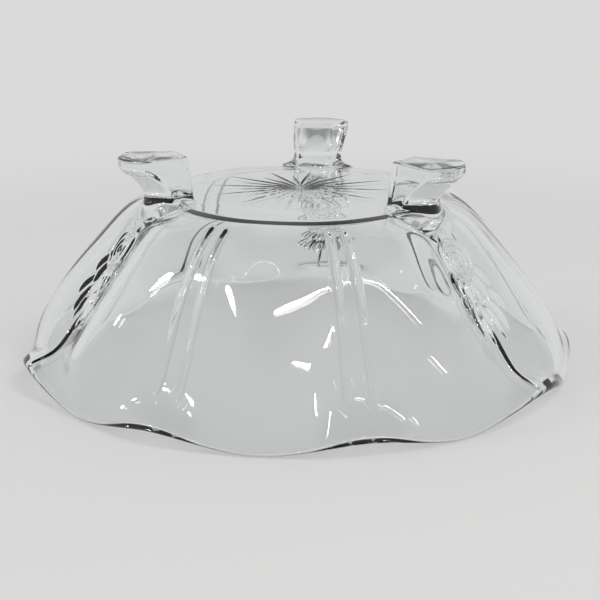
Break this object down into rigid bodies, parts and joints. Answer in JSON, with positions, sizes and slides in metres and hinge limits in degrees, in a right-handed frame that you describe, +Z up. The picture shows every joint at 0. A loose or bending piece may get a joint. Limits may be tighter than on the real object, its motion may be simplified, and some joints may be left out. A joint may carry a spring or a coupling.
{
  "type": "footed candy dish",
  "caption": "Open round dish of pressed clear glass with a ruffled, reeded wall, leaf sprays over the feet and a flared lip, standing on scroll feet.",
  "frame": {"origin": "on the dish's vertical axis, in the plane of the three soles", "axes": "+Z up, out of the bowl's mouth; +Y towards the back foot; +X to the right seen from the front"},
  "size_m": [0.189, 0.1904, 0.0739],
  "materials": {
    "clear_glass": "gloss"
  },
  "bodies": {
    "root": {"bowl": "clear_glass", "foot_back": "clear_glass", "foot_left": "clear_glass", "foot_right": "clear_glass", "leaf_spray_back": "clear_glass", "leaf_spray_left": "clear_glass", "leaf_spray_right": "clear_glass"}
  },
  "joints": []
}
